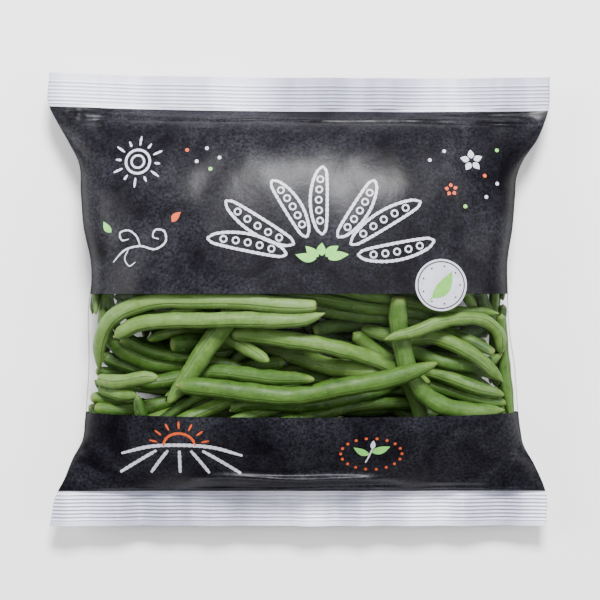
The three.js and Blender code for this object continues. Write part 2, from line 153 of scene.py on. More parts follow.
def bag_span(y):
    """The middle and the half width of the bag at y."""
    left, right = side_line(LEFT_TABLE, y), side_line(RIGHT_TABLE, y)
    return (left + right) / 2, (right - left) / 2


def near_seal(y):
    """0 at the middle of the bag and 1 at the seals."""
    return np.minimum(np.abs(y) / SEAL_INNER, 1)


def dome(share, y):
    """How high a section stands over its side edge, as a share, from -1 to 1 across."""
    full = ease(SEAL_INNER - np.abs(y), 0, 0.045)
    across = 2.2 + 0.8 * full
    round_ = 0.9 + 1.3 * full
    return (1 - np.minimum(np.abs(share), 1) ** across) ** (1 / round_)


# Waves of the side edge beside the seals: height, length and shift of each
EDGE_WAVES = ((0.0009, 0.021, 0.6), (0.0005, 0.0093, 0))


def edge_height(x, y):
    """Height of the side edge, which waves a little where it runs into the seals."""
    near = near_seal(y)
    wave = sum(height * np.sin(x / length + shift) for height, length, shift in EDGE_WAVES)
    droop = SEAL_DROOP * ease(np.abs(y), SEAL_INNER, -SEAL_FOOT)
    return WAIST + (SEAL_RISE - WAIST) * near ** 2 + wave * near ** 4 - droop


# Gathers that run out from the seals: their depth, width and reach, and how they wander
GATHER_DEPTH = 0.00055
GATHER_SIZE = 0.008
GATHER_REACH = 0.016
GATHER_START = 0.0025
GATHER_WANDER = 0.0025
# Soft dents over the whole front: depth, size and seed of each layer
DENTS = ((0.0006, 0.028, 17), (0.00022, 0.010, 23))
# The crumpled corner at the upper left: its middle, its reach, its depth and its grain
CRUMPLE_AT = (-0.106, 0.0835)
CRUMPLE_REACH = (0.007, 0.0045)
CRUMPLE_DEPTH = 0.0003
CRUMPLE_SIZE = 0.0015
# Cross folds beside the seals: which end, distance from the seal, width, height, where they
# start and stop across the bag, and a seed
FOLD_WANDER = 0.0009
FOLD_FADE = 0.02
FOLDS = [
    (1, 0.0046, 0.0007, 0.0011, -0.048, 0.125, 5),
    (1, 0.0064, 0.0008, -0.0008, -0.110, 0.120, 6),
    (1, 0.0020, 0.0008, -0.0007, -0.125, 0.125, 7),
    (1, 0.0088, 0.0009, 0.0006, -0.062, -0.030, 8),
    (-1, 0.0014, 0.0005, 0.0009, -0.110, 0.115, 9),
    (-1, 0.0032, 0.0009, -0.0013, -0.055, 0.055, 10),
    (-1, 0.0066, 0.0017, 0.0044, -0.052, 0.048, 11),
    (-1, 0.0050, 0.0010, 0.0010, 0.052, 0.095, 12),
]


def creases(x, y):
    """Fine relief of the front: gathers under the seals, cross folds and soft dents."""
    from_seal = SEAL_INNER - np.abs(y)
    level = np.zeros_like(y)
    bend = GATHER_WANDER * soft_noise(x, level, 0.03, 3)
    gathers = soft_noise(x + bend, y * 0.25, GATHER_SIZE, 11) * np.exp(-from_seal / GATHER_REACH)
    relief = GATHER_DEPTH * gathers * (1 - np.exp(-from_seal / GATHER_START))
    for end, away, width, depth, start, stop, seed in FOLDS:
        line = away + FOLD_WANDER * soft_noise(x, level, 0.035, seed)
        strength = 0.7 + 0.3 * soft_noise(x, level, 0.03, seed + 20)
        strength = strength * ease(x, start, start + FOLD_FADE)
        strength = strength * (1 - ease(x, stop - FOLD_FADE, stop))
        ridge = np.exp(-((from_seal - line) / width) ** 2)
        relief = relief + depth * strength * ridge * (np.sign(y) == end)
    from_corner = (x - CRUMPLE_AT[0]) / CRUMPLE_REACH[0], (y - CRUMPLE_AT[1]) / CRUMPLE_REACH[1]
    crumple = np.exp(-from_corner[0] ** 2 - from_corner[1] ** 2)
    relief = relief + CRUMPLE_DEPTH * crumple * soft_noise(x, y, CRUMPLE_SIZE, 31)
    for depth, size, seed in DENTS:
        relief = relief + depth * soft_noise(x, y, size, seed)
    return relief


def front_height(x, y, creased=True):
    """Height of the film over the heap, with or without its creases."""
    middle, half = bag_span(y)
    share = (x - middle) / half
    edge = edge_height(x, y) + EDGE
    rise = (CREST - SEAL_RISE - EDGE) * (1 - near_seal(y) ** 2.6) ** (1 / 1.6)
    crest = np.maximum(SEAL_RISE + EDGE + rise - edge, 0)
    height = edge + crest * dome(share, y)
    if not creased:
        return height
    return height + creases(x, y) * ease(1 - np.abs(share), 0.0, 0.12)


def back_height(x, y):
    """Height of the film under the heap, flat where it lies on the surface."""
    middle, half = bag_span(y)
    edge = edge_height(x, y) - EDGE
    sink = (SEAL_RISE - EDGE - KEEL) * (1 - near_seal(y) ** 3) ** (1 / 1.5)
    keel = np.maximum(edge - (SEAL_RISE - EDGE - sink), 0)
    return np.maximum(edge - keel * dome((x - middle) / half, y), 0.0003)


# The bow of the top seal: its depth, where its middle is, how far it reaches to each side and
# where it starts; and the sag of the window's foot
TOP_BOW = 0.0026
BOW_MIDDLE = 0.04
BOW_HALF = 0.156
BOW_START = 0.05
FOOT_SAG = 0.0013
SAG_HALF = 0.1
SAG_REACH = 0.012


def bowed(x, y):
    """The top seal bows towards the heap, and the foot of the window away from it."""
    bow = TOP_BOW * ((x - BOW_MIDDLE) / BOW_HALF) ** 2 - TOP_BOW / 2
    sag = FOOT_SAG * (1 - (x / SAG_HALF) ** 2) * np.exp(-((y - WINDOW_FOOT) / SAG_REACH) ** 2)
    return y + bow * ease(y, BOW_START, SEAL_INNER) - sag


def grid_mesh(name, rows, wrap):
    """A mesh through rows of points, each row joined to the next; wrap closes the rows."""
    count, size = rows.shape[:2]
    faces = []
    for i in range(count - 1):
        for k in range(size if wrap else size - 1):
            after = (k + 1) % size
            faces.append((i * size + k, i * size + after, (i + 1) * size + after,
                          (i + 1) * size + k))
    mesh = bpy.data.meshes.new(name)
    mesh.from_pydata(rows.reshape(-1, 3).tolist(), [], faces)
    mesh.shade_smooth()
    return mesh


def add_object(name, mesh, material):
    made = bpy.data.objects.new(name, mesh)
    bpy.context.scene.collection.objects.link(made)
    mesh.materials.append(material)
    return made


FRONT_POINTS, BACK_POINTS = 161, 81


def film_rows(places):
    """The outer surface of the film tube, once round at each y."""
    front = np.sin(np.linspace(-1, 1, FRONT_POINTS) * math.pi / 2)
    back = np.sin(np.linspace(1, -1, BACK_POINTS) * math.pi / 2)
    rows = []
    for y in places:
        middle, half = bag_span(np.array([y]))
        walls = []
        for shares, height in ((front, front_height), (back, back_height)):
            x = middle + half * shares
            flat_y = np.full_like(x, y)
            walls.append(np.stack([x, bowed(x, flat_y), height(x, flat_y)], 1))
        rows.append(np.concatenate(walls))
    return np.array(rows)


def value_ramp(nodes, links, source, stops):
    """Maps a value through a colour ramp with the given (place, colour) stops."""
    ramp = nodes.new("ShaderNodeValToRGB")
    while len(ramp.color_ramp.elements) < len(stops):
        ramp.color_ramp.elements.new(0.5)
    for element, (position, colour) in zip(ramp.color_ramp.elements, stops):
        element.position = position
        element.color = (*colour, 1)
    links.new(source, ramp.inputs["Fac"])
    return ramp.outputs["Color"]


def set_inputs(node, values):
    """Gives a node's inputs their values, by name."""
    for key, value in values.items():
        node.inputs[key].default_value = value


def noise_value(nodes, links, vector, scale, detail=3, roughness=0.5, distortion=0):
    """Noise over a vector, mostly between 0.3 and 0.7."""
    noise = nodes.new("ShaderNodeTexNoise")
    set_inputs(noise, {"Scale": scale, "Detail": detail, "Roughness": roughness,
                       "Distortion": distortion})
    links.new(vector, noise.inputs["Vector"])
    return noise.outputs["Fac"]


def map_range(nodes, links, source, low, high, to_low, to_high, kind="LINEAR"):
    """Maps a value from one span to another."""
    node = nodes.new("ShaderNodeMapRange")
    node.interpolation_type = kind
    set_inputs(node, {"From Min": low, "From Max": high, "To Min": to_low, "To Max": to_high})
    links.new(source, node.inputs["Value"])
    return node.outputs["Result"]


def multiplied(nodes, links, first, second):
    """Two colours multiplied."""
    mix = nodes.new("ShaderNodeMix")
    mix.data_type = "RGBA"
    mix.blend_type = "MULTIPLY"
    mix.inputs["Factor"].default_value = 1
    links.new(first, mix.inputs["A"])
    links.new(second, mix.inputs["B"])
    return mix.outputs["Result"]


def bump(nodes, links, height, strength, distance, *takers):
    """Fine relief for every node that takes it."""
    node = nodes.new("ShaderNodeBump")
    set_inputs(node, {"Strength": strength, "Distance": distance})
    links.new(height, node.inputs["Height"])
    for taker in takers:
        links.new(node.outputs["Normal"], taker.inputs["Normal"])


def new_material(name):
    material = bpy.data.materials.new(name)
    material.use_nodes = True
    nodes, links = material.node_tree.nodes, material.node_tree.links
    shader = nodes["Principled BSDF"]
    place = nodes.new("ShaderNodeTexCoord").outputs["Object"]
    return material, nodes, links, shader, place


def print_material():
    """Satin film printed like a chalkboard: charcoal with smears, dark blotches and grain."""
    material, nodes, links, shader, place = new_material("film_print")
    smears = noise_value(nodes, links, place, 30, 7, 0.68, 0.5)
    base = value_ramp(nodes, links, smears, [
        (0.34, (0.0015, 0.0012, 0.0024)), (0.46, (0.0060, 0.0057, 0.0084)),
        (0.57, (0.0120, 0.0119, 0.0155)), (0.74, (0.0220, 0.0224, 0.0282))])
    grain = noise_value(nodes, links, place, 800, 3, 0.7)
    dust = value_ramp(nodes, links, grain, [(0.36, (0.30, 0.30, 0.32)), (0.50, (1, 1, 1)),
                                            (0.66, (1.9, 1.9, 2.0))])
    links.new(multiplied(nodes, links, base, dust), shader.inputs["Base Color"])
    gloss = noise_value(nodes, links, place, 60, 3, 0.5)
    roughness = map_range(nodes, links, gloss, 0, 1, 0.27, 0.40)
    turned = nodes.new("ShaderNodeLayerWeight")
    turned.inputs["Blend"].default_value = 0.5
    at_rim = map_range(nodes, links, turned.outputs["Facing"], 0.45, 0.8, 0, 0.6)
    rougher = nodes.new("ShaderNodeMath")
    links.new(roughness, rougher.inputs[0])
    links.new(at_rim, rougher.inputs[1])
    links.new(rougher.outputs["Value"], shader.inputs["Roughness"])
    shader.inputs["Specular IOR Level"].default_value = 0.11
    ripple = noise_value(nodes, links, place, 120, 4, 0.55, 0.3)
    bump(nodes, links, ripple, 0.25, 0.0006, shader)
    return material


def clear_material():
    """Clear glossy film, seen only by its reflections."""
    material, nodes, links, shader, place = new_material("film_clear")
    nodes.remove(shader)
    gloss = nodes.new("ShaderNodeBsdfGlossy")
    set_inputs(gloss, {"Roughness": 0.12, "Color": (1, 1, 1, 1)})
    clear = nodes.new("ShaderNodeBsdfTransparent")
    turned = nodes.new("ShaderNodeLayerWeight")
    turned.inputs["Blend"].default_value = 0.5
    tint = value_ramp(nodes, links, turned.outputs["Facing"], [
        (0.70, (0.985, 0.99, 0.985)), (0.95, (0.42, 0.45, 0.40))])
    links.new(tint, clear.inputs["Color"])
    ripple = noise_value(nodes, links, place, 90, 4, 0.5, 0.4)
    facing = nodes.new("ShaderNodeFresnel")
    facing.inputs["IOR"].default_value = 1.35
    bump(nodes, links, ripple, 0.35, 0.0008, gloss, facing)
    mix = nodes.new("ShaderNodeMixShader")
    share = nodes.new("ShaderNodeMath")
    share.operation = "MULTIPLY"
    share.inputs[1].default_value = 0.10
    links.new(facing.outputs["Fac"], share.inputs[0])
    links.new(share.outputs["Value"], mix.inputs["Fac"])
    links.new(clear.outputs["BSDF"], mix.inputs[1])
    links.new(gloss.outputs["BSDF"], mix.inputs[2])
    links.new(mix.outputs["Shader"], nodes["Material Output"].inputs["Surface"])
    return material


def seal_material():
    """White film with a lavender cast, glossy; painted shade in the grooves, painted light on the
    ribs and soft bands of painted sheen and shade along the seal.
    """
    material, nodes, links, shader, place = new_material("film_seal")
    # Painted sheen and shade: soft bands across the seal, lighter and darker, around the film's
    # own lavender white.
    stretch = nodes.new("ShaderNodeMapping")
    stretch.inputs["Scale"].default_value = (1, 0.12, 0.12)
    links.new(place, stretch.inputs["Vector"])
    sheen_bands = noise_value(nodes, links, stretch.outputs["Vector"], 24, 3, 0.5, 0.3)
    colour = value_ramp(nodes, links, sheen_bands, [
        (0.36, (0.36, 0.36, 0.47)), (0.50, (0.56, 0.56, 0.69)), (0.64, (0.84, 0.84, 0.96))])
    groove = nodes.new("ShaderNodeAttribute")
    groove.attribute_name = "groove"
    # Painted shade and light: the grooves are darkened and the rib tops lightened, as light falls
    # across the ribs.
    shade = value_ramp(nodes, links, groove.outputs["Fac"], [
        (0.10, (1.14, 1.14, 1.14)), (0.95, (0.62, 0.63, 0.66))])
    links.new(multiplied(nodes, links, colour, shade), shader.inputs["Base Color"])
    shader.inputs["Roughness"].default_value = 0.26
    ripple = noise_value(nodes, links, place, 160, 3, 0.5, 0.5)
    bump(nodes, links, ripple, 0.3, 0.0005, shader)
    return material


film_print = print_material()
film_clear = clear_material()
film_seal = seal_material()


def film_piece(name, start, end, count, material, node):
    places = np.linspace(start, end, count)
    made = add_object(name, grid_mesh(name, film_rows(places), wrap=True), material)
    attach(made, "root")
    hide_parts(node)
    return made


film_piece("print_top", WINDOW_TOP, SEAL_INNER, 120, film_print, "film_print_top")
film_piece("window", WINDOW_FOOT, WINDOW_TOP, 60, film_clear, "film_window")
film_piece("print_foot", -SEAL_INNER, WINDOW_FOOT, 60, film_print,
           "film_print_foot")


# The drawings on the print
# Chalk-like drawings printed on the film: a fan of pods, a sun, a tendril, a field, a seedling,
# blossoms, dots and a round label with a leaf. Each stroke lies on the film and follows it.
INK_LIFT = 0.00007
INK_STEP = 0.0009
DRAWN_SCALE = 0.975
SHAKE_RATE = 2600
DISC_POINTS = 49
DISC_STEP = 0.0012
# Points nearer than this are one point
MEETING = 1e-7

# Where each drawing has its middle, in columns and rows of the picture
FAN = (322, 262)
FAN_REACHES = (88, 94, 90, 97, 91, 95, 86)
FAN_ROOT = 27
FAN_WIDENED = 1.35
SEED_SHARES = (0.2, 0.35, 0.5, 0.65, 0.8)
CROWN = (322, 260)
SUN = (136, 160)
BLOSSOMS = ((474, 158), (452, 189))
FIELD = (178, 447)
RING = (372, 455)
LABEL = (441, 285)
CHALK_DOTS = ((206, 146), (219, 156), (196, 160), (446, 148), (500, 182), (488, 196), (431, 158))
GREEN_DOTS = ((501, 146), (210, 168), (466, 206))
ORANGE_DOTS = ((186, 148), (487, 174))
TENDRIL = [(112, 262), (124, 250), (140, 246), (156, 249), (166, 241), (164, 231), (155, 230),
           (153, 237), (159, 239)]
TENDRIL_CURL = [(140, 246), (136, 236), (127, 230), (119, 233), (121, 240), (128, 239)]
TENDRIL_ROOT = [(128, 249), (124, 259), (129, 266), (135, 262)]
SKYLINE = [(118, 456), (148, 448), (178, 446), (210, 448), (242, 457)]
FURROWS = ((126, -10), (152, -4), (178, 0), (204, 4), (230, 10))
SEEDLING = [(366, 465), (370, 457), (373, 449)]


def ink_material(name, colour, worn):
    """Flat ink, a little uneven like chalk where it is worn."""
    material, nodes, links, shader, place = new_material(name)
    wear = noise_value(nodes, links, place, 1300, 3, 0.7)
    shade = value_ramp(nodes, links, noise_value(nodes, links, place, 300, 3, 0.6), [
        (0.3, tuple(0.82 * part for part in colour)), (0.7, colour)])
    links.new(shade, shader.inputs["Base Color"])
    cover = value_ramp(nodes, links, wear, [(0.30, (1 - worn,) * 3), (0.42, (1, 1, 1))])
    links.new(cover, shader.inputs["Alpha"])
    set_inputs(shader, {"Roughness": 0.42, "Specular IOR Level": 0.3})
    return material


def round_from(middle, turn, across, down=None):
    """The place that lies so far across and down from a middle, at a turn."""
    down = across if down is None else down
    return middle[0] + across * math.cos(turn), middle[1] + down * math.sin(turn)


def bent_line(root, tip, bend, shares):
    """Places on a line from a root to a tip that bends to a side, and which way that is."""
    root, tip = np.array(root, float), np.array(tip, float)
    ahead = tip - root
    side = np.array([ahead[1], -ahead[0]]) / np.linalg.norm(ahead)
    path = root + shares[:, None] * ahead
    path += (side * bend)[None] * (4 * shares * (1 - shares))[:, None]
    return path, side


class Ink:
    """Strokes of one colour, collected in one mesh."""

    def __init__(self, name, colour, worn, lift=INK_LIFT):
        self.name, self.lift = name, lift
        self.material = ink_material(name, colour, worn)
        self.points, self.faces = [], []
        self.draw = random.Random(name)

    def lay(self, plan, size):
        """Adds rows of points given in picture columns and rows, size points to a row."""
        x = (plan[:, 0] - PICTURE_MIDDLE) * PIXEL * DRAWN_SCALE
        y = (PICTURE_MIDDLE - plan[:, 1]) * PIXEL * DRAWN_SCALE
        z = front_height(x, y) + self.lift
        start = len(self.points)
        self.points += np.stack([x, bowed(x, y), z], 1).tolist()
        for i in range(len(plan) // size - 1):
            for k in range(size - 1):
                corner = start + i * size + k
                self.faces.append((corner, corner + 1, corner + size + 1, corner + size))

    def stroke(self, points, width, ends=0.5, steady=0.85):
        """A brush stroke through points; ends is its width there, as a share."""
        line = np.array([(x, y, 0) for x, y in points], float)
        length = np.linalg.norm(np.diff(line, axis=0), axis=1).sum() * PIXEL
        count = max(int(length / INK_STEP), 6)
        path = smooth_line(line, count)[0][:, :2]
        ahead = np.gradient(path, axis=0)
        ahead /= np.linalg.norm(ahead, axis=1)[:, None]
        side = np.stack([ahead[:, 1], -ahead[:, 0]], 1)
        shares = np.linspace(0, 1, count)
        taper = ends + (1 - ends) * np.minimum(1, np.sin(math.pi * shares) * 2.2)
        shift = self.draw.uniform(0, 9)
        shaky = steady + (1 - steady) * np.sin(shares * length * SHAKE_RATE + shift)
        half = (width / 2 * taper * shaky)[:, None]
        rows = np.stack([path + side * half, path, path - side * half], 1)
        self.lay(rows.reshape(-1, 2), 3)

    def leaf(self, root, tip, width, bend=0.0, full=0.8):
        """A filled leaf from its root to its tip."""
        shares = np.linspace(0, 1, 14)
        path, side = bent_line(root, tip, bend, shares)
        half = (width / 2 * np.sin(math.pi * shares ** full))[:, None]
        rows = np.stack([path + side * half, path + side * half / 2, path,
                         path - side * half / 2, path - side * half], 1)
        self.lay(rows.reshape(-1, 2), 5)

    def disc(self, middle, radius, inner=0.0):
        """A filled disc, or a ring with a hole of the inner radius."""
        turns = np.linspace(0, math.tau, DISC_POINTS)
        spans = np.linspace(radius, inner, max(int((radius - inner) * PIXEL / DISC_STEP), 3))
        rows = [[round_from(middle, turn, span) for turn in turns] for span in spans]
        self.lay(np.array(rows).reshape(-1, 2), DISC_POINTS)

    def outline(self, root, tip, width, bend, stroke_width):
        """The outline of a long pod with its seeds, from its stalk to its tip."""
        shares = np.linspace(0, 1, 15)
        path, side = bent_line(root, tip, bend, shares)
        half = (width / 2 * np.sin(math.pi * shares) ** 0.45)[:, None]
        self.stroke(path + side * half, stroke_width, 0.8)
        self.stroke(path - side * half, stroke_width, 0.8)
        for seed in bent_line(root, tip, bend, np.array(SEED_SHARES))[0]:
            self.disc(seed, width * 0.23, width * 0.13)

    def finish(self):
        mesh = bpy.data.meshes.new(self.name)
        mesh.from_pydata(self.points, [], self.faces)
        bm = bmesh.new()
        bm.from_mesh(mesh)
        bmesh.ops.remove_doubles(bm, verts=bm.verts, dist=MEETING)
        for face in bm.faces:
            face.normal_update()
            if face.normal.z < 0:
                face.normal_flip()
        bm.to_mesh(mesh)
        bm.free()
        mesh.shade_smooth()
        made = add_object(self.name, mesh, self.material)
        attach(made, "root")


chalk = Ink("chalk_drawings", (0.58, 0.58, 0.67), 0.7)
green_ink = Ink("green_drawings", (0.21, 0.60, 0.12), 0.4)
orange_ink = Ink("orange_drawings", (0.62, 0.085, 0.018), 0.4)

# A fan of seven pods, the largest drawing
for k, reach in enumerate(FAN_REACHES):
    turn = math.pi * (k + 0.62) / 7.2
    stalk, tip = [round_from(FAN, turn, -out * FAN_WIDENED, -out) for out in (FAN_ROOT, reach)]
    chalk.outline(stalk, tip, 17, 4 if k % 2 else -4, 3.4)
for k in range(5):
    turn = math.pi * (k + 0.5) / 5
    green_ink.leaf(round_from(CROWN, turn, -6, -4), round_from(CROWN, turn, -28, -17), 9, 1)

# A sun with rays at the left and a tendril below it
chalk.disc(SUN, 13.5, 11)
chalk.disc(SUN, 7.5, 5.4)
for k in range(12):
    turn = k * math.tau / 12 + 0.1
    ray = [round_from(SUN, turn, out) for out in (17, 27 if k % 2 else 23)]
    chalk.stroke(ray, 2.6, 0.4)
chalk.stroke(TENDRIL, 2.2)
chalk.stroke(TENDRIL_CURL, 2.0)
chalk.stroke(TENDRIL_ROOT, 1.4)
orange_ink.leaf((172, 222), (181, 212), 7, 1)
green_ink.leaf((110, 232), (102, 221), 7, 1)

# Blossoms and dots at the upper right
for middle, size, ink in zip(BLOSSOMS, (12, 7), (chalk, orange_ink)):
    for k in range(5):
        turn = k * math.tau / 5 - 0.4
        ink.leaf(round_from(middle, turn, 2.5), round_from(middle, turn, size), size * 0.55)
for dot in CHALK_DOTS:
    chalk.disc(dot, 1.9)
for dot in GREEN_DOTS:
    green_ink.disc(dot, 2.0)
for dot in ORANGE_DOTS:
    orange_ink.disc(dot, 2.0)

# A field with furrows under a rising sun at the left foot
for k in range(7):
    turn = math.pi * (k + 0.5) / 7
    ray = [round_from(FIELD, turn, -23, -19), round_from(FIELD, turn, -31, -27)]
    orange_ink.stroke(ray, 2.4, 0.5)
arch = [round_from(FIELD, k * math.pi / 8, -16, -14) for k in range(9)]
orange_ink.stroke(arch, 3.2, 0.8)
chalk.stroke(SKYLINE, 4.2, 0.6)
for foot, bend in FURROWS:
    top = FIELD[0] + (foot - FIELD[0]) * 0.45
    chalk.stroke([(top, 452), ((top + foot) / 2 + bend * 0.2, 462), (foot + bend, 476)], 3.8, 0.7)

# A seedling in a ring of dots, right of the middle of the foot
for k in range(18):
    orange_ink.disc(round_from(RING, k * math.tau / 18, 31, 17), 1.5)
chalk.stroke(SEEDLING, 1.8)
green_ink.leaf((370, 456), (354, 448), 7, 1)
green_ink.leaf((372, 453), (391, 447), 8, -1)
chalk.leaf((373, 450), (374, 440), 5)

# The round label over the top edge of the window
label_ground = Ink("label_ground", (0.52, 0.52, 0.60), 0.0, INK_LIFT * 2)
label_ground.disc(LABEL, 26)
label_rim = Ink("label_rim", (0.012, 0.012, 0.018), 0.0, INK_LIFT * 3)
label_rim.disc(LABEL, 24, 22.8)
for k in range(9):
    label_rim.disc(round_from(LABEL, k * math.tau / 9, 19), 0.9)
label_leaf = Ink("label_leaf", (0.15, 0.42, 0.07), 0.0, INK_LIFT * 3)
label_leaf.leaf((432, 298), (452, 271), 14, -3)
label_leaf.stroke([(428, 302), (436, 293), (445, 281)], 1.6)
for ink in (chalk, green_ink, orange_ink, label_ground, label_rim, label_leaf):
    ink.finish()


# The seals
# Both walls of the film pressed together between ribbed jaws: seven or eight ribs, then a plain
# strip at the outer edge.
RIB_PITCH = 0.00172
RIB_START = 0.0008
TOP_RIBS = 7
FOOT_RIBS = 8
RIB_HALF_HEIGHT = 0.00034
RIB_EASE = 0.3
SEAL_ROWS, SEAL_POINTS = 110, 200
SEAL_HALF = 0.00012
# Slow waves along the seal, which give it its brighter and darker stretches: height and size
SWAYS = ((0.0011, 0.013), (0.0003, 0.005))
TOP_SEED, FOOT_SEED = 61, 67
RUFFLE = 0.0006
RUFFLE_START = 0.004


def seal_lift(inward, ribs):
    """Height of the ribs, by the distance from the seal's inner edge."""
    phase = (inward - RIB_START) / RIB_PITCH
    ribbed = ease(phase, 0, RIB_EASE) * (1 - ease(phase, ribs - RIB_EASE, ribs))
    return -RIB_HALF_HEIGHT * np.cos(math.tau * phase) * ribbed


def closed(mesh):
    """Merges points that meet, fills open ends and turns the faces outwards."""
    bm = bmesh.new()
    bm.from_mesh(mesh)
    bmesh.ops.remove_doubles(bm, verts=bm.verts, dist=MEETING)
    bmesh.ops.holes_fill(bm, edges=bm.edges, sides=0)
    bmesh.ops.recalc_face_normals(bm, faces=bm.faces)
    bm.to_mesh(mesh)
    bm.free()
    return mesh


def set_attribute(mesh, name, values):
    """Gives each point of a mesh a value or a vector that its material reads."""
    kind, field = ("FLOAT_VECTOR", "vector") if values.ndim == 2 else ("FLOAT", "value")
    mesh.attributes.new(name, kind, "POINT").data.foreach_set(field, values.ravel())


def seal_piece(name, inner, outer, ribs, node):
    reach = abs(outer - inner)
    inward = np.linspace(0, reach, SEAL_ROWS)
    shares = np.linspace(-1, 1, SEAL_POINTS)
    rows = []
    for side in (1, -1):
        for away in inward if side > 0 else inward[::-1]:
            y = inner + math.copysign(away, outer)
            middle, half = bag_span(np.array([y]))
            x = middle + half * shares
            flat_y = np.full_like(x, y)
            ruffle = RUFFLE * ease(away, RUFFLE_START, reach) * soft_noise(x, x * 0, 0.022, 31)
            seed = TOP_SEED if outer > 0 else FOOT_SEED
            sway = sum(height * soft_noise(x, x * 0, size, seed) for height, size in SWAYS)
            z = edge_height(x, flat_y) + seal_lift(away, ribs) + side * SEAL_HALF + ruffle
            z = z + sway * ease(away, 0, 0.003)
            rows.append(np.stack([x, bowed(x, flat_y), z], 1))
    rows = np.array(rows)
    around = np.concatenate([inward, inward[::-1], inward[:1]])
    # How deep each row lies between the ribs; the seal's material paints shade into the grooves
    # from it.
    groove_shade = 0.5 - seal_lift(around, ribs) / (2 * RIB_HALF_HEIGHT)
    rows = np.concatenate([rows, rows[:1]])
    mesh = grid_mesh(name, rows, wrap=False)
    set_attribute(mesh, "groove", np.repeat(groove_shade, rows.shape[1]))
    made = add_object(name, closed(mesh), film_seal)
    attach(made, "root")
    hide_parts(node)


seal_piece("top_seal", SEAL_INNER, SEAL_TOP, TOP_RIBS, "seal_top")
seal_piece("foot_seal", -SEAL_INNER, SEAL_FOOT, FOOT_RIBS, "seal_foot")


# The back seam
# Where the two edges of the sheet lap to make the tube. It runs the length of the back, pressed
# flat, and has the print or the clear band of the film it is made from.
SEAM_X = 0.004
SEAM_WIDTH = 0.012
SEAM_THICK = 0.00025
SEAM_LIFT = 0.0004


def seam_piece(name, start, end, material):
    across = np.array([-1, -0.5, 0, 0.5, 1, 1, 0.5, 0, -0.5, -1]) * SEAM_WIDTH / 2
    inward = np.array([0] * 5 + [1] * 5) * SEAM_THICK
    rows = []
    for y in np.linspace(start, end, 30):
        x = SEAM_X + across
        flat_y = np.full_like(x, y)
        z = back_height(x, flat_y) + SEAM_LIFT + inward
        rows.append(np.stack([x, bowed(x, flat_y), z], 1))
    made = add_object(name, closed(grid_mesh(name, np.array(rows), wrap=True)), material)
    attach(made, "root")
    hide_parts("back_seam")


seam_piece("seam_top", WINDOW_TOP, SEAL_INNER - 0.001, film_print)
seam_piece("seam_window", WINDOW_FOOT, WINDOW_TOP, film_clear)
seam_piece("seam_foot", -SEAL_INNER + 0.001, WINDOW_FOOT, film_print)


# The beans
# Whole green beans, trimmed and washed, each with its own course and girth. Every pod is drawn
# again round the middle line of its solid, with swellings over its seeds, a seam down one side,
# a stalk end and a tail.
SOLID_SIDES = 8
SOLID_MEETING = 2e-6
POD_SIDES = 20
POD_RINGS = 64
SPINE_STEPS = 160
STALK_ENDS = [
    [(0.0, 0.0), (0.0006, 0.2), (0.009, 0.2), (0.013, 0.42), (0.035, 0.80)],
    [(0.0, 0.0), (0.0006, 0.42), (0.004, 0.6), (0.013, 0.71), (0.035, 0.82)],
    [(0.0, 0.0), (0.002, 0.30), (0.008, 0.5), (0.018, 0.66), (0.035, 0.80)],
]
BODY = [(0.07, 0.90), (0.12, 0.95), (0.27, 1.0), (0.45, 0.975), (0.63, 1.0), (0.8, 0.95)]
TAILS = [
    [(0.91, 0.76), (0.955, 0.52), (0.976, 0.27), (0.99, 0.15), (1.0, 0.0)],
    [(0.91, 0.78), (0.96, 0.58), (0.985, 0.38), (0.996, 0.2), (1.0, 0.0)],
    [(0.91, 0.76), (0.965, 0.46), (0.985, 0.30), (0.997, 0.14), (1.0, 0.0)],
]
PLAIN_SHAPE = np.array(STALK_ENDS[1] + BODY + TAILS[1])
SEED_SPACING = 0.0115
FULLNESS = 1.13
# Slow changes of a pod's girth: how much and how fast
WAVERS = ((0.032, 9), (0.018, 23))
# How far a pod is rolled and twisted, how far its seam lies off its upper side, and how flat it is
ROLL = 0.45
TWIST = 0.5
SEAM_ROLL = 0.9
FLATNESS = (0.84, 0.97)
SEAM_HEIGHT = 0.030
SEAM_SPREAD = 0.02


def ring_middles(mesh):
    """The middle and girth of each ring of a pod's solid, from its stalk end to its tip."""
    bm = bmesh.new()
    bm.from_mesh(mesh)
    bmesh.ops.remove_doubles(bm, verts=bm.verts, dist=SOLID_MEETING)
    poles = [vert for vert in bm.verts if len(vert.link_edges) == SOLID_SIDES]
    lines = []
    for pole in poles:
        seen, ring, line = {pole}, [pole], []
        while ring:
            places = np.array([vert.co for vert in ring])
            middle = places.mean(axis=0)
            line.append((*middle, np.linalg.norm(places - middle, axis=1).mean()))
            ring = [vert for vert in {edge.other_vert(old) for old in ring
                                      for edge in old.link_edges} if vert not in seen]
            seen.update(ring)
        lines.append(np.array(line))
    bm.free()
    return min(lines, key=lambda line: np.linalg.norm(line[1, :3] - line[0, :3]))


def places_along(spine, shares):
    """Places on a pod's middle line, at shares of its length."""
    known = np.linspace(0, 1, len(spine))
    return np.stack([np.interp(shares, known, spine[:, axis]) for axis in range(3)], 1)


